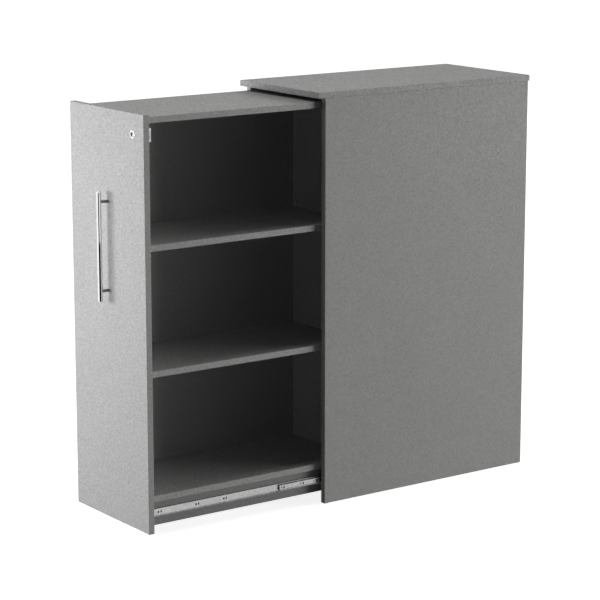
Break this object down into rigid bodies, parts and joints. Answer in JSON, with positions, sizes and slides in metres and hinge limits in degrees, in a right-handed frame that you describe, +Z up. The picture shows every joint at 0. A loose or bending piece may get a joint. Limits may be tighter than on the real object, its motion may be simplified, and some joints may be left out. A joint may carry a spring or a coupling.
{
  "type": "pull-out file cabinet",
  "caption": "Tall narrow grey cabinet whose full-height front pulls out a shelf unit, open at the side, on ball-bearing runners, with a bar handle and a cylinder lock.",
  "frame": {"origin": "on the floor, under the middle of the box around the opened cabinet", "axes": "+Z up, +Y to the back, +X to the right seen from the front; the pull-out opens towards -Y"},
  "size_m": [0.403, 1.426, 1.234],
  "materials": {
    "grey_board": "matt grey melamine on particle board, fine speckle",
    "runner_steel": "bright zinc plate",
    "zinc_screws": "zinc plated",
    "black_screws": "black oxide",
    "cast_zinc": "die-cast zinc, nickel plated",
    "chrome": "polished",
    "black_plastic": "moulded",
    "white_nylon": "moulded",
    "beech": "fluted beech"
  },
  "bodies": {
    "carcass": {"carcass_top": "grey_board", "carcass_side_left": "grey_board", "carcass_side_right": "grey_board", "carcass_back": "grey_board", "floor_glides": "black_plastic", "carcass_cams": "cast_zinc", "carcass_cam_bolts": "zinc_screws", "back_dowels": "beech", "runner_cabinet_left": "runner_steel", "runner_cabinet_right": "runner_steel", "runner_cabinet_screws": "black_screws", "top_guide_rail": "runner_steel", "top_guide_screws": "zinc_screws", "lock_strike": "runner_steel", "strike_screws": "zinc_screws"},
    "pullout": {"front_panel": "grey_board", "pullout_top": "grey_board", "upper_shelf": "grey_board", "lower_shelf": "grey_board", "pullout_bottom": "grey_board", "pullout_side_wall": "grey_board", "pullout_rear_wall": "grey_board", "lower_rail_left": "grey_board", "lower_rail_right": "grey_board", "pullout_cams": "cast_zinc", "pullout_cam_bolts": "zinc_screws", "shelf_dowels": "beech", "runner_drawer_left": "runner_steel", "runner_drawer_right": "runner_steel", "runner_drawer_screws": "black_screws", "top_guide_shoe": "white_nylon", "handle_bar": "chrome", "handle_posts": "chrome", "handle_screws": "zinc_screws", "lock_case": "cast_zinc", "lock_barrel": "cast_zinc", "lock_rosette": "chrome", "lock_screws": "zinc_screws", "front_buffers": "white_nylon"},
    "lock_plug": {"lock_plug": "chrome"},
    "lock_bolt": {"lock_bolt": "cast_zinc"},
    "runner_middle_left": {"runner_middle_left": "runner_steel"},
    "rear_ball_cage_left": {"rear_ball_cage_left": "runner_steel", "rear_balls_left": "runner_steel"},
    "front_ball_cage_left": {"front_ball_cage_left": "runner_steel", "front_balls_left": "runner_steel"},
    "runner_middle_right": {"runner_middle_right": "runner_steel"},
    "rear_ball_cage_right": {"rear_ball_cage_right": "runner_steel", "rear_balls_right": "runner_steel"},
    "front_ball_cage_right": {"front_ball_cage_right": "runner_steel", "front_balls_right": "runner_steel"}
  },
  "joints": [
    {"name": "pullout_slide", "type": "slide", "parent": "carcass", "child": "pullout", "axis": [0, -1, 0], "range_m": [-0.595, 0.105]},
    {"name": "runner_middle_left_slide", "type": "slide", "parent": "carcass", "child": "runner_middle_left", "axis": [0, -1, 0], "range_m": [-0.2976, 0.0526]},
    {"name": "rear_ball_cage_left_slide", "type": "slide", "parent": "carcass", "child": "rear_ball_cage_left", "axis": [0, -1, 0], "range_m": [-0.14885, 0.02635]},
    {"name": "front_ball_cage_left_slide", "type": "slide", "parent": "carcass", "child": "front_ball_cage_left", "axis": [0, -1, 0], "range_m": [-0.44635, 0.07885]},
    {"name": "runner_middle_right_slide", "type": "slide", "parent": "carcass", "child": "runner_middle_right", "axis": [0, -1, 0], "range_m": [-0.2976, 0.0526]},
    {"name": "rear_ball_cage_right_slide", "type": "slide", "parent": "carcass", "child": "rear_ball_cage_right", "axis": [0, -1, 0], "range_m": [-0.14885, 0.02635]},
    {"name": "front_ball_cage_right_slide", "type": "slide", "parent": "carcass", "child": "front_ball_cage_right", "axis": [0, -1, 0], "range_m": [-0.44635, 0.07885]},
    {"name": "lock_turn", "type": "hinge", "parent": "pullout", "child": "lock_plug", "pos_m": [0.141, -0.66, 1.154], "axis": [0, 1, 0], "range_deg": [0, 180]},
    {"name": "lock_bolt_slide", "type": "slide", "parent": "pullout", "child": "lock_bolt", "axis": [1, 0, 0], "range_m": [-0.0002, 0.009]}
  ],
  "couplings": [
    {"joint": "runner_middle_left_slide", "follows": "pullout_slide", "ratio": 0.5},
    {"joint": "rear_ball_cage_left_slide", "follows": "pullout_slide", "ratio": 0.25},
    {"joint": "front_ball_cage_left_slide", "follows": "pullout_slide", "ratio": 0.75},
    {"joint": "runner_middle_right_slide", "follows": "pullout_slide", "ratio": 0.5},
    {"joint": "rear_ball_cage_right_slide", "follows": "pullout_slide", "ratio": 0.25},
    {"joint": "front_ball_cage_right_slide", "follows": "pullout_slide", "ratio": 0.75},
    {"joint": "lock_bolt_slide", "follows": "lock_turn", "m_per_rad": 0.002546}
  ]
}
